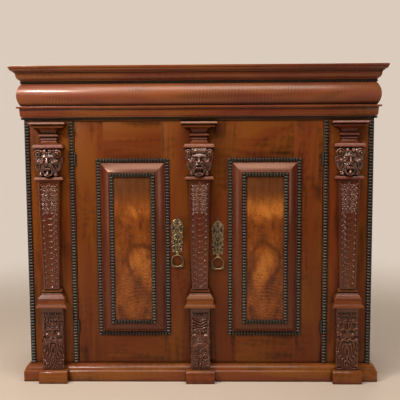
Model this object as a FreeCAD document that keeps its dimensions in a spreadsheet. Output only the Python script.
# Kas cupboard: a low two-door walnut cupboard with a cushion cornice, three carved pilasters,
# bolection-moulded doors, ripple mouldings, surface locks and ring pulls.
#
# Frame: millimetres, +Z up, +X to the right of somebody who faces the doors, the doors face -Y.
# The origin is the bottom centre of the bounding box. Every piece is laid out from the front
# plane of the doors and stiles (y = 0 in the calls below), and place() moves it by FRONT.
import FreeCAD, Part
import os
import sys

import Sketcher
from FreeCAD import Placement, Rotation, Vector

DRIVING_SIZES = {
    # carcass
    "carcass_half_width": 770,
    "carcass_depth": 580,
    "stile_width": 219.5,
    "stile_height": 1097,
    "stile_thickness": 28,
    "side_thickness": 28,
    "side_member_width": 110,
    "side_panel_thickness": 12,
    "side_panel_recess": 8,
    "bottom_thickness": 22,
    "bottom_setback": 29,
    "ceiling_rise": 23,
    "ceiling_thickness": 18,
    "back_thickness": 14,
    "back_board_count": 6,
    "back_board_gap": 0.5,
    # shelves
    "shelf_thickness": 20,
    "shelf_setback": 60,
    "lower_shelf_height": 440,
    "upper_shelf_height": 810,
    "bearer_width": 20,
    "bearer_height": 28,
    # base
    "base_height": 80,
    "base_face_height": 52,
    "base_projection": 29,
    "base_ledge_projection": 7,
    "base_thickness": 75,
    "base_rail_thickness": 44,
    "block_width": 128,
    "block_height": 60,
    "block_projection": 62,
    "block_bevel": 14,
    # cornice
    "reveal_height": 6,
    "low_ripple_height": 11,
    "low_ripple_projection": 13,
    "architrave_height": 48,
    "architrave_projection": 28,
    "architrave_foot_projection": 12,
    "architrave_fillet": 8,
    "architrave_hollow": 4,
    "frieze_height": 98,
    "frieze_projection": 26,
    "frieze_top_projection": 7,
    "frieze_foot_projection": 10,
    "high_ripple_height": 12,
    "high_ripple_projection": 12,
    "crown_height": 37,
    "crown_projection": 29,
    "crown_foot_projection": 11,
    "crown_fillet": 6,
    "crown_round": 5,
    "slab_height": 28,
    "slab_projection": 52,
    "slab_foot_projection": 35,
    "slab_edge": 9,
    "slab_round": 4,
    "cornice_board_thickness": 25,
    "top_board_thickness": 18,
    # ripple strips on the stiles
    "outer_strip_width": 22,
    "inner_strip_width": 19,
    "strip_height": 10,
    "strip_hinge_clearance": 0.5,
    # pilasters
    "centre_pilaster_offset": 4,
    "capital_clearance": 4,
    "capital_height": 112.5,
    "capital_top_half": 80.5,
    "capital_fascia_half": 70,
    "capital_neck_half": 32.5,
    "capital_collar_half": 43.5,
    "capital_ring_half": 35.75,
    "capital_abacus_half": 69,
    "capital_return": 18.5,
    "mask_height": 128,
    "mask_half": 65.5,
    "mask_projection": 75,
    "lower_abacus_height": 14,
    "lower_abacus_half": 65,
    "shaft_top_half": 46.5,
    "shaft_foot_half": 35,
    "shaft_projection": 40,
    "shaft_border": 9,
    "shaft_sinking": 6,
    "cap_height": 82,
    "cap_top_half": 44,
    "cap_second_half": 49,
    "cap_fascia_half": 66,
    "cap_foot_half": 70,
    "cap_return": 8,
    "pedestal_height": 286,
    "pedestal_half": 48.5,
    "centre_pedestal_half": 43.5,
    "pedestal_projection": 48,
    "pedestal_clearance": 2,
    "lap_clearance": 0.3,
    # doors
    "door_thickness": 28,
    "door_side_gap": 3,
    "door_end_gap": 3,
    "meeting_offset": 5,
    "meeting_gap": 3,
    "panel_offset": 293,
    "panel_frame_half_width": 162,
    "panel_frame_foot": 210,
    "panel_frame_height": 801,
    "outer_ripple_width": 18,
    "outer_ripple_height": 10,
    "panel_moulding_width": 44,
    "panel_moulding_rise": 36,
    "panel_moulding_edge": 6,
    "panel_moulding_round": 7,
    "moulding_seat": 15,
    "inner_ripple_width": 17,
    "inner_ripple_height": 10,
    "field_thickness": 12,
    "back_panel_thickness": 12,
    "back_panel_recess": 8,
    # hinges
    "hinge_height": 48,
    "low_hinge_height": 248.5,
    "high_hinge_height": 1007.5,
    "knuckle_radius": 4.2,
    "knuckle_standoff": 5.2,
    "knuckle_clearance": 0.3,
    "hinge_pin_radius": 2,
    "pin_clearance": 0.05,
    "pin_head_radius": 3.8,
    "pin_head_height": 5,
    "leaf_clearance": 0.1,
    "leaf_depth": 26,
    # escutcheons and ring pulls
    "plate_thickness": 2,
    "right_key_offset": 84,
    "right_key_height": 603,
    "left_key_offset": 97,
    "left_key_height": 614,
    "plate_half_width": 28,
    "plate_waist": 22,
    "plate_rise": 149,
    "plate_drop": 36,
    "plate_tip_half": 6,
    "keyhole_radius": 4.5,
    "keyhole_slot_half": 2.25,
    "keyhole_slot_drop": 13,
    "pivot_drop": 26,
    "pivot_standoff": 6,
    "pivot_pin_radius": 2,
    "ear_half_height": 3.5,
    "ear_gap_half": 5,
    "ear_thickness": 3,
    "ring_radius": 27,
    "ring_wire_radius": 3,
    "ring_shank": 6,
    "sleeve_radius": 3.8,
    "sleeve_clearance": 0.2,
    # lock and bolts
    "lock_edge_offset": 5,
    "lock_length": 118,
    "lock_half_height": 45,
    "lock_depth": 22,
    "lock_wall": 5,
    "lock_bolt_half_height": 12,
    "lock_bolt_thickness": 10,
    "lock_bolt_length": 74,
    "lock_bolt_clearance": 0.3,
    "keeper_edge_offset": 3,
    "keeper_length": 27,
    "keeper_half_height": 20,
    "rod_radius": 5,
    "rod_length": 120,
    "rod_inset": 33.5,
    "rod_standoff": 12,
    "rod_end_clearance": 3,
    "rod_knob_radius": 4,
    "rod_knob_length": 10,
    "guide_half_width": 12,
    "guide_depth": 20,
    "guide_height": 14,
    "guide_inset": 15,
    "socket_clearance": 2,
}


class Size:
    """A length in mm together with the expression that ties it to the spreadsheet."""

    def __init__(self, value, text):
        self.value = float(value)
        self.text = text

    @staticmethod
    def of(length):
        """Wrap a plain number, and pass a Size through."""
        return length if isinstance(length, Size) else Size(length, f"({float(length)})")

    def _with(self, other, sign, value):
        return Size(value, f"({self.text} {sign} {Size.of(other).text})")

    def __add__(self, other):
        return self._with(other, "+", self.value + Size.of(other).value)

    def __sub__(self, other):
        return self._with(other, "-", self.value - Size.of(other).value)

    def __mul__(self, other):
        return self._with(other, "*", self.value * Size.of(other).value)

    def __truediv__(self, other):
        return self._with(other, "/", self.value / Size.of(other).value)

    def __neg__(self):
        return self * -1

    def __radd__(self, other):
        return Size.of(other) + self

    def __rsub__(self, other):
        return Size.of(other) - self

    __rmul__ = __mul__


class Sizes:
    """The driving sizes of the spreadsheet, each read as an attribute."""

    def __init__(self, sheet, names):
        for name in names:
            setattr(self, name, Size(sheet.get(name), f"{sheet.Name}.{name}"))


def fill_sheet(document):
    """Write the driving sizes to a spreadsheet and name each cell."""
    sheet = document.addObject("Spreadsheet::Sheet", "Sizes")
    for row, (name, value) in enumerate(DRIVING_SIZES.items(), start=1):
        sheet.set(f"A{row}", name)
        sheet.set(f"B{row}", str(value))
        sheet.setAlias(f"B{row}", name)
    document.recompute()
    return sheet


DOC = FreeCAD.newDocument("KasCupboard")
S = Sizes(fill_sheet(DOC), DRIVING_SIZES)

# Heights, from the floor up.
BASE_TOP = S.base_height
OPENING_TOP = BASE_TOP + S.stile_height
LOW_RIPPLE = OPENING_TOP + S.reveal_height
ARCHITRAVE = LOW_RIPPLE + S.low_ripple_height
FRIEZE = ARCHITRAVE + S.architrave_height
HIGH_RIPPLE = FRIEZE + S.frieze_height
CROWN = HIGH_RIPPLE + S.high_ripple_height
SLAB = CROWN + S.crown_height
TOP = SLAB + S.slab_height
PEDESTAL_FOOT = S.block_height + S.pedestal_clearance
CAP_FOOT = PEDESTAL_FOOT + S.pedestal_height
SHAFT_FOOT = CAP_FOOT + S.cap_height
CAPITAL_TOP = OPENING_TOP - S.capital_clearance
CAPITAL_FOOT = CAPITAL_TOP - S.capital_height
MASK_FOOT = CAPITAL_FOOT - S.mask_height
SHAFT_TOP = MASK_FOOT - S.lower_abacus_height

# Depths: the masks are the foremost pieces and the back of the carcass is the rearmost.
FRONT = (S.mask_projection - S.carcass_depth) / 2
INNER_HALF = S.carcass_half_width - S.side_thickness
OPENING_HALF = S.carcass_half_width - S.stile_width
BACK_INSIDE = S.carcass_depth - S.back_thickness

# Doors.
DOOR_FOOT = BASE_TOP + S.door_end_gap
DOOR_TOP = OPENING_TOP - S.door_end_gap
DOOR_OUTER = OPENING_HALF - S.door_side_gap
HINGE_X = OPENING_HALF - S.door_side_gap / 2
RIGHT_DOOR_EDGE = S.meeting_gap / 2 - S.meeting_offset
LEFT_DOOR_EDGE = -S.meeting_offset - S.meeting_gap / 2

ALONG_X = Rotation(Vector(0, 1, 0), 90)
ALONG_Y = Rotation(Vector(1, 0, 0), -90)
UPRIGHT = Rotation(Vector(1, 0, 0), 90)
DOOR_NORMAL = Vector(0, -1, 0)


def bind(piece, prop, length):
    """Tie one property of a piece to the spreadsheet."""
    piece.setExpression(prop, Size.of(length).text)


def place(piece, x, y, z, turn=None):
    """Set a piece down at a point measured from the front plane of the doors."""
    piece.Placement = Placement(Vector(), turn or Rotation())
    bind(piece, "Placement.Base.x", x)
    bind(piece, "Placement.Base.y", FRONT + y)
    bind(piece, "Placement.Base.z", z)
    return piece


def board(label, x, y, z):
    """Make a board between two limits along each axis."""
    box = DOC.addObject("Part::Box", label)
    for prop, (low, high) in (("Length", x), ("Width", y), ("Height", z)):
        bind(box, prop, Size.of(high) - low)
    return place(box, x[0], y[0], z[0])


def rod(label, radius, length, x, y, z, turn=None):
    """Make a round rod that starts at a point and runs along the turned Z axis."""
    cylinder = DOC.addObject("Part::Cylinder", label)
    bind(cylinder, "Radius", radius)
    bind(cylinder, "Height", length)
    return place(cylinder, x, y, z, turn)


def group(label, pieces):
    """Keep several separate solids together as one sub-part."""
    compound = DOC.addObject("Part::Compound", label)
    compound.Links = pieces
    return compound


def fuse(label, pieces):
    """Join touching pieces into one solid."""
    fusion = DOC.addObject("Part::MultiFuse", label)
    fusion.Shapes = pieces
    fusion.Refine = True
    return fusion


def cut(label, base, tool):
    """Take one piece out of another."""
    result = DOC.addObject("Part::Cut", label)
    result.Base = base
    result.Tool = tool
    return result


def mirrored_pair(label, make):
    """Group what make(side) returns for the left (-1) and the right (+1)."""
    return group(label, [piece for side in (-1, 1) for piece in make(side)])


def span(side, near, far):
    """Give the two limits, low first, of what lies between two distances on one side."""
    return (near, far) if side > 0 else (-Size.of(far), -Size.of(near))


# Sketches: an outline is a list of (across, up) or (across, up, bulge) corners, counter-clockwise.
# The bulge is how far the edge that leaves the corner swells outwards; a negative one is a hollow.


def arc_through(start, end, bulge):
    """Return the arc between two corners that swells to the right of the way along it."""
    chord = end - start
    outward = Vector(chord.y, -chord.x, 0).normalize()
    return Part.Arc(start, (start + end) / 2 + outward * bulge, end)


def arc_radius(corner, following, bulge):
    """Work out an arc's radius from its chord and its bulge, as a Size."""
    across = Size.of(following[0]) - corner[0]
    up = Size.of(following[1]) - corner[1]
    depth = bulge if bulge.value > 0 else -bulge
    return ((across * across + up * up) / 4 + depth * depth) / (depth * 2)


def add_outline(sketch, corners):
    """Draw one closed outline in a sketch and tie every corner to the spreadsheet."""
    first = sketch.GeometryCount
    count = len(corners)
    starts = []
    for index, corner in enumerate(corners):
        following = corners[(index + 1) % count]
        start = Vector(Size.of(corner[0]).value, Size.of(corner[1]).value, 0)
        end = Vector(Size.of(following[0]).value, Size.of(following[1]).value, 0)
        if len(corner) == 3:
            edge = arc_through(start, end, Size.of(corner[2]).value)
        else:
            edge = Part.LineSegment(start, end)
        sketch.addGeometry(edge, False)
        clockwise = len(corner) == 3 and sketch.Geometry[first + index].Axis.z < 0
        starts.append(2 if clockwise else 1)
    for index, corner in enumerate(corners):
        edge, following = first + index, (index + 1) % count
        join = (edge, 3 - starts[index], first + following, starts[following])
        sketch.addConstraint(Sketcher.Constraint("Coincident", *join))
        for kind, name, length in (
            ("DistanceX", "across", corner[0]),
            ("DistanceY", "up", corner[1]),
        ):
            value = Size.of(length).value
            tie = Sketcher.Constraint(kind, -1, 1, edge, starts[index], value)
            add_driven(sketch, tie, f"{name}_{edge}", length)
        if len(corner) == 3:
            radius = arc_radius(corner, corners[following], Size.of(corner[2]))
            tie = Sketcher.Constraint("Radius", edge, radius.value)
            add_driven(sketch, tie, f"radius_{edge}", radius)


def add_driven(sketch, constraint, name, length):
    """Add a named constraint to a sketch and let the spreadsheet drive it."""
    number = sketch.addConstraint(constraint)
    sketch.renameConstraint(number, name)
    bind(sketch, f"Constraints.{name}", length)


def add_sketch(body, name, plane, outlines):
    """Attach a sketch with the given outlines to one of the body's own origin planes."""
    sketch = body.newObject("Sketcher::SketchObject", name)
    origin = [part for part in body.Origin.OriginFeatures if part.Role == plane]
    sketch.AttachmentSupport = (origin[0], [""])
    sketch.MapMode = "FlatFace"
    for corners in outlines:
        add_outline(sketch, corners)
    return sketch


def padded(label, plane, corners, length, both_ways=False):
    """Make a body by padding one outline off an origin plane."""
    body = DOC.addObject("PartDesign::Body", label)
    pad = body.newObject("PartDesign::Pad", label + "_pad")
    pad.Profile = add_sketch(body, label + "_outline", plane, [corners])
    pad.SideType = "Symmetric" if both_ways else "One side"
    bind(pad, "Length", length)
    body.Tip = pad
    return body


def mitred_length(label, profile, width, length, mitres):
    """Run a moulding along local X and cut the named ends ("start", "end") to a mitre.

    The profile's across axis is 0 at the long outer edge and grows inwards up to width.
    """
    body = padded(label, "YZ_Plane", profile, length)
    triangles = []
    if "start" in mitres:
        triangles.append([(0, 0), (width, width), (0, width)])
    if "end" in mitres:
        triangles.append([(length, 0), (length, width), (Size.of(length) - width, width)])
    pocket = body.newObject("PartDesign::Pocket", label + "_mitres")
    pocket.Profile = add_sketch(body, label + "_plan", "XY_Plane", triangles)
    pocket.Type = "ThroughAll"
    pocket.SideType = "Symmetric"
    body.Tip = pocket
    return body


def wall_bead(projection, foot, height):
    """Outline a half-round bead that stands off a wall at the given height."""
    flat = projection * 0.4
    return [
        (projection, foot),
        (projection, foot + height),
        (flat, foot + height, flat),
        (flat, foot),
    ]


def face_bead(width, height):
    """Outline a half-round bead that lies on a door or stile."""
    edge = height * 0.4
    return [(0, 0), (width, 0), (width, edge, height - edge), (0, edge)]


def three_sided_run(label, profile, projection, width):
    """Carry a moulding round the front and both sides, mitred at the two front corners."""
    reach = S.carcass_half_width + projection
    side_length = S.carcass_depth + projection
    front = mitred_length(label + "_front", profile, width, reach * 2, ("start", "end"))
    place(front, -reach, -projection, 0)
    right = mitred_length(label + "_right", profile, width, side_length, ("start",))
    place(right, reach, -projection, 0, Rotation(Vector(0, 0, 1), 90))
    left = mitred_length(label + "_left", profile, width, side_length, ("end",))
    place(left, -reach, S.carcass_depth, 0, Rotation(Vector(0, 0, 1), -90))
    return group(label, [front, left, right])


def framed_run(label, profile, width, centre_x, half_width, foot, height, face_y):
    """Lay four mitred lengths in a rectangle on a face that looks forward."""
    left, right = centre_x - half_width, centre_x + half_width
    top = foot + height
    corners = (
        ("bottom", half_width * 2, left, foot),
        ("right", height, right, foot),
        ("top", half_width * 2, right, top),
        ("left", height, left, top),
    )
    lengths = []
    for quarter, (name, length, x, z) in enumerate(corners):
        piece = mitred_length(f"{label}_{name}", profile, width, length, ("start", "end"))
        turn = Rotation(DOOR_NORMAL, 90 * quarter) * UPRIGHT
        lengths.append(place(piece, x, face_y, z, turn))
    return lengths


def moulded_block(label, levels, recess, x, gap):
    """Make a block whose mouldings return on both sides.

    Each level is (half_width, height) or (half_width, height, bulge), from the bottom up. The
    block stands out by its half width less the recess, so its front corners are true mitres.
    """

    def falling(across):
        points = []
        for number in reversed(range(len(levels))):
            half_width, height = levels[number][:2]
            bulge = levels[number - 1][2:] if number else ()
            points.append((across(half_width), height) + bulge)
        return points

    widest = max((level[0] for level in levels), key=lambda half: half.value)
    rising = [(level[0], *level[1:]) for level in levels]
    front_corners = rising + falling(lambda half: -half)
    side_corners = [(0, levels[0][1]), (0, levels[-1][1])] + falling(lambda half: recess - half)
    front = padded(label + "_front", "XZ_Plane", front_corners, widest - recess)
    side = padded(label + "_side", "YZ_Plane", side_corners, widest * 2, both_ways=True)
    block = DOC.addObject("Part::Common", label)
    block.Base = front
    block.Tool = side
    return place(block, x, -Size.of(gap), 0)


def make_base():
    """Make the base: mitred mouldings on three sides, a back rail and the pilasters' blocks."""
    ledge = S.base_projection - S.base_ledge_projection
    profile = [
        (0, 0),
        (S.base_thickness, 0),
        (S.base_thickness, BASE_TOP),
        (ledge, BASE_TOP),
        (0, S.base_face_height),
    ]
    inner = S.carcass_half_width + S.base_projection - S.base_thickness
    rail_front = S.carcass_depth - S.base_rail_thickness
    block_top = [
        (-S.base_projection, 0),
        (-S.base_projection, S.block_height),
        (S.block_bevel - S.block_projection, S.block_height),
        (-S.block_projection, S.block_height - S.block_bevel),
        (-S.block_projection, 0),
    ]
    blocks = []
    for name, x, _half in PILASTERS:
        block = padded(f"base_block_{name}", "YZ_Plane", block_top, S.block_width, True)
        blocks.append(place(block, x, 0, 0))
    return [
        three_sided_run("base_mouldings", profile, S.base_projection, S.base_thickness),
        board("base_back_rail", (-inner, inner), (rail_front, S.carcass_depth), (0, BASE_TOP)),
        group("base_blocks", blocks),
    ]


def make_side(name, side):
    """Make one framed side from two posts and two rails."""
    across = span(side, INNER_HALF, S.carcass_half_width)
    member = S.side_member_width
    front, back = S.stile_thickness, S.carcass_depth
    rails = (front + member, back - member)
    return group(
        f"{name}_side_frame",
        [
            board(f"{name}_side_front_post", across, (front, front + member), (BASE_TOP, FRIEZE)),
            board(f"{name}_side_back_post", across, (back - member, back), (BASE_TOP, FRIEZE)),
            board(f"{name}_side_foot_rail", across, rails, (BASE_TOP, BASE_TOP + member)),
            board(f"{name}_side_head_rail", across, rails, (FRIEZE - member, FRIEZE)),
        ],
    )


def make_side_panel(side):
    """Make the sunk panel of one side."""
    face = S.carcass_half_width - S.side_panel_recess
    member = S.side_member_width
    depth = (S.stile_thickness + member, S.carcass_depth - member)
    height = (BASE_TOP + member, FRIEZE - member)
    label = "right_side_panel" if side > 0 else "left_side_panel"
    return [board(label, span(side, face - S.side_panel_thickness, face), depth, height)]


def make_back_boards():
    """Make the upright back boards, with a hair gap between neighbours."""
    count = round(S.back_board_count.value)
    pitch = INNER_HALF * 2 / count
    boards = []
    for number in range(count):
        left = pitch * number - INNER_HALF
        across = (left, left + pitch - (S.back_board_gap if number < count - 1 else 0))
        depth = (BACK_INSIDE, S.carcass_depth)
        boards.append(board(f"back_board_{number + 1}", across, depth, (BASE_TOP, FRIEZE)))
    return group("back_boards", boards)


def make_shelves():
    """Make the two shelves and the bearers that carry them."""
    depth = (S.shelf_setback, BACK_INSIDE)
    shelves = []
    bearers = []
    for name, height in (("lower", S.lower_shelf_height), ("upper", S.upper_shelf_height)):
        across = (-INNER_HALF, INNER_HALF)
        shelf = board(f"{name}_shelf", across, depth, (height, height + S.shelf_thickness))
        shelves.append(shelf)
        for side, hand in ((-1, "left"), (1, "right")):
            width = span(side, INNER_HALF - S.bearer_width, INNER_HALF)
            tall = (height - S.bearer_height, height)
            bearers.append(board(f"{name}_{hand}_bearer", width, depth, tall))
    return [group("shelves", shelves), group("shelf_bearers", bearers)]


def make_carcass():
    """Make the fixed case between the base and the cornice."""
    inside = (-INNER_HALF, INNER_HALF)
    bottom_depth = (S.bottom_setback, BACK_INSIDE)
    floor = board("bottom_plain", inside, bottom_depth, (BASE_TOP, BASE_TOP + S.bottom_thickness))
    socket_radius = S.rod_radius + S.socket_clearance
    socket = rod("bolt_socket", socket_radius, S.bottom_thickness, ROD_X, ROD_Y, BASE_TOP)
    ceiling = OPENING_TOP + S.ceiling_rise
    parts = [
        cut("bottom_board", floor, socket),
        board(
            "ceiling_board",
            inside,
            (S.stile_thickness, BACK_INSIDE),
            (ceiling, ceiling + S.ceiling_thickness),
        ),
        board(
            "front_top_rail",
            (-S.carcass_half_width, S.carcass_half_width),
            (0, S.stile_thickness),
            (OPENING_TOP, FRIEZE),
        ),
        make_back_boards(),
        mirrored_pair("side_panels", make_side_panel),
    ]
    for side, name in ((-1, "left"), (1, "right")):
        across = span(side, OPENING_HALF, S.carcass_half_width)
        parts.append(make_side(name, side))
        parts.append(
            board(
                f"{name}_front_stile", across, (0, S.stile_thickness), (BASE_TOP, OPENING_TOP)
            )
        )
    return parts + make_shelves() + [mirrored_pair("stile_ripple_strips", make_stile_strips)]


def make_stile_strips(side):
    """Make the outer and the inner ripple strip of one stile."""
    outer = S.carcass_half_width - S.outer_strip_width
    inner = HINGE_X + S.knuckle_radius + S.strip_hinge_clearance
    strips = []
    for name, near, width in (
        ("outer", outer, S.outer_strip_width),
        ("inner", inner, S.inner_strip_width),
    ):
        label = f"{'right' if side > 0 else 'left'}_{name}_strip"
        strip = padded(label, "YZ_Plane", face_bead(width, S.strip_height), S.stile_height)
        far_edge = near + width if side > 0 else -near
        turn = Rotation(DOOR_NORMAL, 90) * UPRIGHT
        strips.append(place(strip, far_edge, 0, BASE_TOP, turn))
    return strips


def make_cornice():
    """Make the cornice: mitred mouldings in front of a board frame, and the dust board."""
    reach = S.carcass_half_width
    plank = S.cornice_board_thickness
    top_inside = TOP - S.top_board_thickness
    tall = (FRIEZE, top_inside)
    sides = (plank, S.carcass_depth - plank)
    frame = [
        board("cornice_front_board", (-reach, reach), (0, plank), tall),
        board("cornice_left_board", (-reach, plank - reach), sides, tall),
        board("cornice_right_board", (reach - plank, reach), sides, tall),
        board("cornice_back_board", (-reach, reach), (sides[1], S.carcass_depth), tall),
    ]
    slab = [
        (S.slab_projection, SLAB),
        (S.slab_projection, TOP),
        (0, TOP),
        (0, TOP - S.slab_edge, S.slab_round),
        (S.slab_projection - S.slab_foot_projection, SLAB),
    ]
    crown = [
        (S.crown_projection, CROWN),
        (S.crown_projection, SLAB),
        (0, SLAB),
        (0, SLAB - S.crown_fillet, S.crown_round),
        (S.crown_projection - S.crown_foot_projection, CROWN),
    ]
    swell = S.frieze_projection - (S.frieze_top_projection + S.frieze_foot_projection) / 2
    frieze = [
        (S.frieze_projection, FRIEZE),
        (S.frieze_projection, HIGH_RIPPLE),
        (S.frieze_projection - S.frieze_top_projection, HIGH_RIPPLE, swell),
        (S.frieze_projection - S.frieze_foot_projection, FRIEZE),
    ]
    architrave = [
        (S.architrave_projection, ARCHITRAVE),
        (S.architrave_projection, FRIEZE),
        (0, FRIEZE),
        (0, FRIEZE - S.architrave_fillet, -S.architrave_hollow),
        (S.architrave_projection - S.architrave_foot_projection, ARCHITRAVE),
    ]
    ripples = []
    for name, projection, foot, height in (
        ("low_cornice_ripple", S.low_ripple_projection, LOW_RIPPLE, S.low_ripple_height),
        ("high_cornice_ripple", S.high_ripple_projection, HIGH_RIPPLE, S.high_ripple_height),
    ):
        bead = wall_bead(projection, foot, height)
        ripples.append(three_sided_run(name, bead, projection, projection))
    runs = [("cornice_top_moulding", slab, S.slab_projection)]
    runs.append(("crown_moulding", crown, S.crown_projection))
    runs.append(("cushion_frieze", frieze, S.frieze_projection))
    runs.append(("architrave_moulding", architrave, S.architrave_projection))
    parts = [three_sided_run(label, profile, out, out) for label, profile, out in runs]
    parts.append(group("cornice_ripple_mouldings", ripples))
    parts.append(group("cornice_frame", frame))
    parts.append(board("top_board", (-reach, reach), (0, S.carcass_depth), (top_inside, TOP)))
    return parts


def capital_levels():
    """List the capital's mouldings: abacus, flare, two neck rings, cavetto, fascia and fillet."""
    foot, top = CAPITAL_FOOT, CAPITAL_TOP
    return [
        (S.capital_abacus_half, foot),
        (S.capital_abacus_half, foot + 16),
        (S.capital_neck_half, foot + 33, 4),
        (S.capital_ring_half, foot + 35.5),
        (S.capital_ring_half, foot + 44.5),
        (S.capital_neck_half, foot + 46.5),
        (S.capital_neck_half, foot + 50),
        (S.capital_collar_half, foot + 52),
        (S.capital_collar_half, foot + 60.5),
        (S.capital_neck_half, foot + 63),
        (S.capital_neck_half, foot + 70, -7),
        (S.capital_fascia_half, foot + 91),
        (S.capital_fascia_half, top - 7.5),
        (S.capital_top_half, top - 7.5),
        (S.capital_top_half, top),
    ]


def cap_levels():
    """List the pedestal cap's mouldings: foot fillet, fascia, slope and two upper fillets."""
    foot, top = CAP_FOOT, SHAFT_FOOT
    return [
        (S.cap_foot_half, foot),
        (S.cap_foot_half, foot + 13),
        (S.cap_fascia_half, foot + 14),
        (S.cap_fascia_half, foot + 40, 4),
        (S.cap_second_half, foot + 58),
        (S.cap_second_half, foot + 68),
        (S.cap_top_half, foot + 73),
        (S.cap_top_half, top),
    ]


def make_shaft(name, x, gap):
    """Make a tapered pilaster shaft with a sunk field inside a raised border."""
    top, foot, rim = S.shaft_top_half, S.shaft_foot_half, S.shaft_border
    outline = [(-foot, SHAFT_FOOT), (foot, SHAFT_FOOT), (top, SHAFT_TOP), (-top, SHAFT_TOP)]
    field = [
        (rim - foot, SHAFT_FOOT + rim),
        (foot - rim, SHAFT_FOOT + rim),
        (top - rim, SHAFT_TOP - rim),
        (rim - top, SHAFT_TOP - rim),
    ]
    shaft = padded(f"{name}_shaft_core", "XZ_Plane", outline, S.shaft_projection)
    sinking = padded(f"{name}_shaft_field", "XZ_Plane", field, S.shaft_sinking)
    place(shaft, x, -Size.of(gap), 0)
    place(sinking, x, S.shaft_sinking - S.shaft_projection - gap, 0)
    return cut(f"{name}_shaft", shaft, sinking)


def make_pedestal(name, x, half_width, gap):
    """Make a pedestal whose lower end hangs in front of the base moulding."""
    lap = -S.base_projection - S.pedestal_clearance
    front = -S.pedestal_projection
    outline = [
        (front, PEDESTAL_FOOT),
        (lap, PEDESTAL_FOOT),
        (lap, BASE_TOP + S.pedestal_clearance),
        (0, BASE_TOP + S.pedestal_clearance),
        (0, CAP_FOOT),
        (front, CAP_FOOT),
    ]
    pedestal = padded(f"{name}_pedestal", "YZ_Plane", outline, half_width * 2, True)
    return place(pedestal, x, -Size.of(gap), 0)


def make_mask(name, x, gap):
    """Make the block that the mask is carved from, with the abacus below it."""
    depth = (-S.mask_projection, -Size.of(gap))
    block = board(
        f"{name}_mask_block",
        (x - S.mask_half, x + S.mask_half),
        depth,
        (MASK_FOOT, CAPITAL_FOOT),
    )
    abacus = board(
        f"{name}_lower_abacus",
        (x - S.lower_abacus_half, x + S.lower_abacus_half),
        (S.capital_return - S.lower_abacus_half, -Size.of(gap)),
        (SHAFT_TOP, MASK_FOOT),
    )
    return fuse(f"{name}_mask", [block, abacus])


def make_pilasters():
    """Make the three pilasters from capital to pedestal."""
    parts = []
    for name, x, half_width in PILASTERS:
        gap = S.lap_clearance if name == "centre" else 0
        parts.append(moulded_block(f"{name}_capital", capital_levels(), S.capital_return, x, gap))
        parts.append(make_mask(name, x, gap))
        parts.append(make_shaft(name, x, gap))
        parts.append(moulded_block(f"{name}_pedestal_cap", cap_levels(), S.cap_return, x, gap))
        parts.append(make_pedestal(name, x, half_width, gap))
    return parts


def make_door(name, side):
    """Make one door: frame, back panel, bolection moulding, raised field and ripple strips."""
    centre = S.panel_offset * side
    seat = S.outer_ripple_width + S.moulding_seat
    half = S.panel_frame_half_width - seat
    opening = (centre - half, centre + half)
    foot = S.panel_frame_foot + seat
    top = S.panel_frame_foot + S.panel_frame_height - seat
    depth = (0, S.door_thickness)
    tall = (DOOR_FOOT, DOOR_TOP)
    left_edge = RIGHT_DOOR_EDGE if side > 0 else -DOOR_OUTER
    right_edge = DOOR_OUTER if side > 0 else LEFT_DOOR_EDGE
    frame = [
        board(f"{name}_door_left_stile", (left_edge, opening[0]), depth, tall),
        board(f"{name}_door_right_stile", (opening[1], right_edge), depth, tall),
        board(f"{name}_door_foot_rail", opening, depth, (DOOR_FOOT, foot)),
        board(f"{name}_door_head_rail", opening, depth, (top, DOOR_TOP)),
    ]
    recess = S.back_panel_recess
    panel_depth = (recess, recess + S.back_panel_thickness)

    ripple = S.outer_ripple_width
    moulding_half = S.panel_frame_half_width - ripple
    rise = S.panel_moulding_rise
    edge, width = S.panel_moulding_edge, S.panel_moulding_width
    bolection = [(0, 0), (width, 0), (width, rise, S.panel_moulding_round), (0, edge)]
    moulding_foot = S.panel_frame_foot + ripple
    moulding_height = S.panel_frame_height - ripple * 2
    field_half = moulding_half - width
    field_foot = moulding_foot + width
    field_height = moulding_height - width * 2
    outer = framed_run(
        f"{name}_outer_ripple",
        face_bead(ripple, S.outer_ripple_height),
        ripple,
        centre,
        S.panel_frame_half_width,
        S.panel_frame_foot,
        S.panel_frame_height,
        0,
    )
    inner = framed_run(
        f"{name}_inner_ripple",
        face_bead(S.inner_ripple_width, S.inner_ripple_height),
        S.inner_ripple_width,
        centre,
        field_half,
        field_foot,
        field_height,
        -rise,
    )
    moulding = framed_run(
        f"{name}_bolection", bolection, width, centre, moulding_half, moulding_foot,
        moulding_height, 0,
    )
    return [
        group(f"{name}_door_frame", frame),
        board(f"{name}_door_back_panel", opening, panel_depth, (foot, top)),
        group(f"{name}_panel_moulding", moulding),
        board(
            f"{name}_figured_panel",
            (centre - field_half, centre + field_half),
            (-rise, S.field_thickness - rise),
            (field_foot, field_foot + field_height),
        ),
        group(f"{name}_panel_ripple_strips", outer + inner),
    ]


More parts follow.
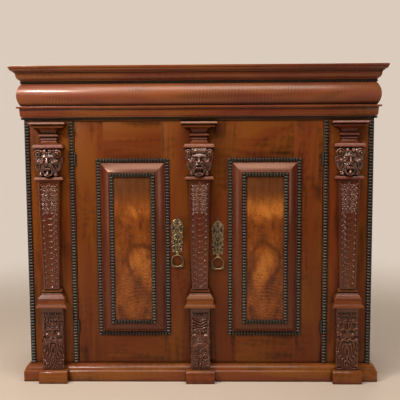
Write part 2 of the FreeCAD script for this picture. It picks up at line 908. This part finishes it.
def make_hinge_half(label, side, middle, level):
    """Make one half of a hinge: its leaf in the gap and its knuckles round the pin.

    The carcass half lies on the outer side of the gap and has the two end knuckles; the door
    half lies on the inner side and has the middle one.
    """
    third = S.hinge_height / 3
    foot = level - S.hinge_height / 2
    near, far = S.leaf_clearance, S.door_side_gap / 2
    leaf_x = span(-side, near, far) if middle else span(side, near, far)
    across = (HINGE_X * side + leaf_x[0], HINGE_X * side + leaf_x[1])
    pieces = [board(label + "_leaf", across, (0, S.leaf_depth), (foot, foot + S.hinge_height))]
    for number in (1,) if middle else (0, 2):
        low = foot + third * number + S.knuckle_clearance / 2
        height = third - S.knuckle_clearance
        axis = (HINGE_X * side, -S.knuckle_standoff, low)
        pieces.append(rod(f"{label}_knuckle_{number}", S.knuckle_radius, height, *axis))
        neck = (-S.knuckle_standoff, 0)
        pieces.append(board(f"{label}_neck_{number}", across, neck, (low, low + height)))
    bore_radius = S.hinge_pin_radius + S.pin_clearance
    bore = rod(
        label + "_bore", bore_radius, S.hinge_height, HINGE_X * side, -S.knuckle_standoff, foot
    )
    return cut(label, fuse(label + "_blank", pieces), bore)


def make_hinge_pin(label, side, level):
    """Make a hinge pin with a round head at each end."""
    foot = level - S.hinge_height / 2 + S.knuckle_clearance / 2
    height = S.hinge_height - S.knuckle_clearance
    x, y = HINGE_X * side, -S.knuckle_standoff
    head_height = S.pin_head_height
    pieces = [
        rod(label + "_core", S.hinge_pin_radius, height, x, y, foot),
        rod(label + "_foot", S.pin_head_radius, head_height, x, y, foot - head_height),
        rod(label + "_head", S.pin_head_radius, head_height, x, y, foot + height),
    ]
    return fuse(label, pieces)


def make_hinges():
    """Make two butt hinges for each door."""
    halves = {"hinge_frame_leaves": [], "left_door_hinge_leaves": [], "right_door_hinge_leaves": []}
    pins = []
    for name, side in (("left", -1), ("right", 1)):
        for end, level in (("low", S.low_hinge_height), ("high", S.high_hinge_height)):
            label = f"{name}_{end}"
            fixed = make_hinge_half(f"{label}_frame_leaf", side, False, level)
            moving = make_hinge_half(f"{label}_door_leaf", side, True, level)
            halves["hinge_frame_leaves"].append(fixed)
            halves[f"{name}_door_hinge_leaves"].append(moving)
            pins.append(make_hinge_pin(f"{label}_hinge_pin", side, level))
    return [group(label, leaves) for label, leaves in halves.items()] + [
        group("hinge_pins", pins)
    ]


def make_escutcheon(name, x, height):
    """Make a lock plate with a keyhole and the two ears and pin that carry the ring pull."""
    half, waist, tip = S.plate_half_width, S.plate_waist, S.plate_tip_half
    foot, top = height - S.plate_drop, height + S.plate_rise
    right_edge = [
        (tip, foot, 3),
        (waist, height - 14, 3),
        (half, height + 8, -4),
        (half, height + 44, 4),
        (waist, height + 92, 2),
        (tip, height + 126, 2),
    ]
    left_edge = []
    for number in reversed(range(len(right_edge))):
        across, up = right_edge[number][:2]
        bulge = right_edge[number - 1][2:] if number else ()
        left_edge.append((-across, up) + bulge)
    outline = right_edge[:-1] + [right_edge[-1][:2], (2, top), (-2, top)] + left_edge
    plate = padded(f"{name}_plate", "XZ_Plane", outline, S.plate_thickness)
    place(plate, x, 0, 0)

    thick = S.plate_thickness
    through = (-thick * 2, thick)
    eye = rod(f"{name}_keyhole_eye", S.keyhole_radius, thick * 3, x, thick, height, UPRIGHT)
    slot_x = (x - S.keyhole_slot_half, x + S.keyhole_slot_half)
    slot = board(f"{name}_keyhole_slot", slot_x, through, (height - S.keyhole_slot_drop, height))
    pierced = cut(f"{name}_pierced_plate", plate, fuse(f"{name}_keyhole", [eye, slot]))

    pivot_y, pivot_z = -thick - S.pivot_standoff, height - S.pivot_drop
    reach = S.ear_gap_half + S.ear_thickness
    ears = []
    for side in (-1, 1):
        ear_x = span(side, S.ear_gap_half, reach)
        ears.append(
            board(
                f"{name}_ear_{'right' if side > 0 else 'left'}",
                (x + ear_x[0], x + ear_x[1]),
                (pivot_y - S.ear_half_height, -thick),
                (pivot_z - S.ear_half_height, pivot_z + S.ear_half_height),
            )
        )
    pin = rod(
        f"{name}_pivot_pin", S.pivot_pin_radius, reach * 2, x - reach, pivot_y, pivot_z, ALONG_X
    )
    return fuse(f"{name}_escutcheon", [pierced, *ears, pin])


def make_ring_pull(name, x, height):
    """Make a ring pull: a ring on a short shank with a sleeve round the pivot pin."""
    pivot_y = -S.plate_thickness - S.pivot_standoff
    pivot_z = height - S.pivot_drop
    half = S.ear_gap_half - S.sleeve_clearance
    sleeve = rod(
        f"{name}_sleeve", S.sleeve_radius, half * 2, x - half, pivot_y, pivot_z, ALONG_X
    )
    ring_z = pivot_z - S.ring_shank - S.ring_wire_radius - S.ring_radius
    wire = S.ring_wire_radius
    shank = board(
        f"{name}_shank",
        (x - wire, x + wire),
        (pivot_y - wire, pivot_y + wire),
        (ring_z + S.ring_radius, pivot_z),
    )
    ring = DOC.addObject("Part::Torus", f"{name}_ring")
    bind(ring, "Radius1", S.ring_radius)
    bind(ring, "Radius2", wire)
    place(ring, x, pivot_y, ring_z, UPRIGHT)
    bore_radius = S.pivot_pin_radius + S.pin_clearance
    bore = rod(f"{name}_pull_bore", bore_radius, half * 2, x - half, pivot_y, pivot_z, ALONG_X)
    return cut(f"{name}_ring_pull", fuse(f"{name}_pull_blank", [sleeve, shank, ring]), bore)


def make_lock():
    """Make the lock case and its bolt on the right door."""
    left = RIGHT_DOOR_EDGE + S.lock_edge_offset
    back = S.door_thickness
    height = S.right_key_height
    wall = S.lock_wall
    room = S.lock_bolt_clearance
    bolt_half = S.lock_bolt_half_height
    bolt_y = (back + wall + room, back + wall + room + S.lock_bolt_thickness)
    case = board(
        "lock_case_block",
        (left, left + S.lock_length),
        (back, back + S.lock_depth),
        (height - S.lock_half_height, height + S.lock_half_height),
    )
    channel = board(
        "lock_channel",
        (left, left + S.lock_bolt_length + room),
        (bolt_y[0] - room, bolt_y[1] + room),
        (height - bolt_half - room, height + bolt_half + room),
    )
    bolt = board(
        "lock_bolt",
        (left, left + S.lock_bolt_length),
        bolt_y,
        (height - bolt_half, height + bolt_half),
    )
    return [cut("lock_case", case, channel), bolt]


def make_bolt_keepers():
    """Make what the bolts slide in on the left door: the lock's keeper and four rod guides."""
    right = LEFT_DOOR_EDGE - S.keeper_edge_offset
    back = S.door_thickness
    height = S.right_key_height
    room = S.lock_bolt_clearance
    mouth_y = (back + S.lock_wall, back + S.lock_wall + S.lock_bolt_thickness + room * 2)
    mouth_half = S.lock_bolt_half_height + room
    block = board(
        "keeper_block",
        (right - S.keeper_length, right),
        (back, back + S.lock_depth),
        (height - S.keeper_half_height, height + S.keeper_half_height),
    )
    mouth = board(
        "keeper_mouth",
        (right - S.keeper_length, right),
        mouth_y,
        (height - mouth_half, height + mouth_half),
    )
    pieces = [cut("lock_keeper", block, mouth)]
    for name, foot in RODS:
        for end, low in (
            ("low", foot + S.guide_inset),
            ("high", foot + S.rod_length - S.guide_inset - S.guide_height),
        ):
            label = f"{name}_{end}_guide"
            guide = board(
                label + "_block",
                (ROD_X - S.guide_half_width, ROD_X + S.guide_half_width),
                (back, back + S.guide_depth),
                (low, low + S.guide_height),
            )
            bore_radius = S.rod_radius + S.pin_clearance
            bore = rod(label + "_bore", bore_radius, S.guide_height, ROD_X, ROD_Y, low)
            pieces.append(cut(label, guide, bore))
    return group("bolt_keepers", pieces)


def make_rod_bolt(name, foot):
    """Make one upright bolt with its thumb knob."""
    core = rod(f"{name}_core", S.rod_radius, S.rod_length, ROD_X, ROD_Y, foot)
    knob_foot = foot + S.rod_length / 2
    knob_length = S.rod_radius + S.rod_knob_length
    knob = rod(
        f"{name}_knob", S.rod_knob_radius, knob_length, ROD_X, ROD_Y, knob_foot, ALONG_Y
    )
    return fuse(name, [core, knob])


STILE_MIDDLE = S.carcass_half_width - S.stile_width / 2
PILASTERS = (
    ("left", -STILE_MIDDLE, S.pedestal_half),
    ("centre", S.centre_pilaster_offset, S.centre_pedestal_half),
    ("right", STILE_MIDDLE, S.pedestal_half),
)
ROD_X = LEFT_DOOR_EDGE - S.rod_inset
ROD_Y = S.door_thickness + S.rod_standoff
RODS = (
    ("upper_bolt", DOOR_TOP - S.rod_end_clearance - S.rod_length),
    ("lower_bolt", BASE_TOP + S.bottom_thickness + S.rod_end_clearance),
)
LOCKS = (
    ("left", -S.left_key_offset, S.left_key_height),
    ("right", S.right_key_offset, S.right_key_height),
)


def make_all():
    """Make every sub-part and return the objects that are written out."""
    parts = make_base() + make_carcass() + make_cornice() + make_pilasters()
    parts += make_door("left", -1) + make_door("right", 1) + make_hinges() + make_lock()
    parts.append(make_bolt_keepers())
    for name, foot in RODS:
        parts.append(make_rod_bolt(name, foot))
    for name, x, height in LOCKS:
        parts.append(make_escutcheon(name, x, height))
        parts.append(make_ring_pull(name, x, height))
    return parts


def check(parts):
    """Stop before anything is written if an object failed or a sub-part has no good shape."""
    failed = [
        item.Label for item in DOC.Objects if {"Invalid", "Error"} & set(item.State)
    ]
    failed += [
        item.Label for item in parts if item.Shape.isNull() or not item.Shape.isValid()
    ]
    if failed:
        sys.exit(f"these pieces failed: {failed}")


def write(parts):
    """Write each sub-part to a STEP file of its own."""
    os.makedirs("parts", exist_ok=True)
    for item in parts:
        item.Shape.exportStep(os.path.join("parts", item.Label + ".step"))


SUB_PARTS = make_all()
DOC.recompute()
check(SUB_PARTS)
write(SUB_PARTS)
print(f"{len(SUB_PARTS)} sub-parts written")
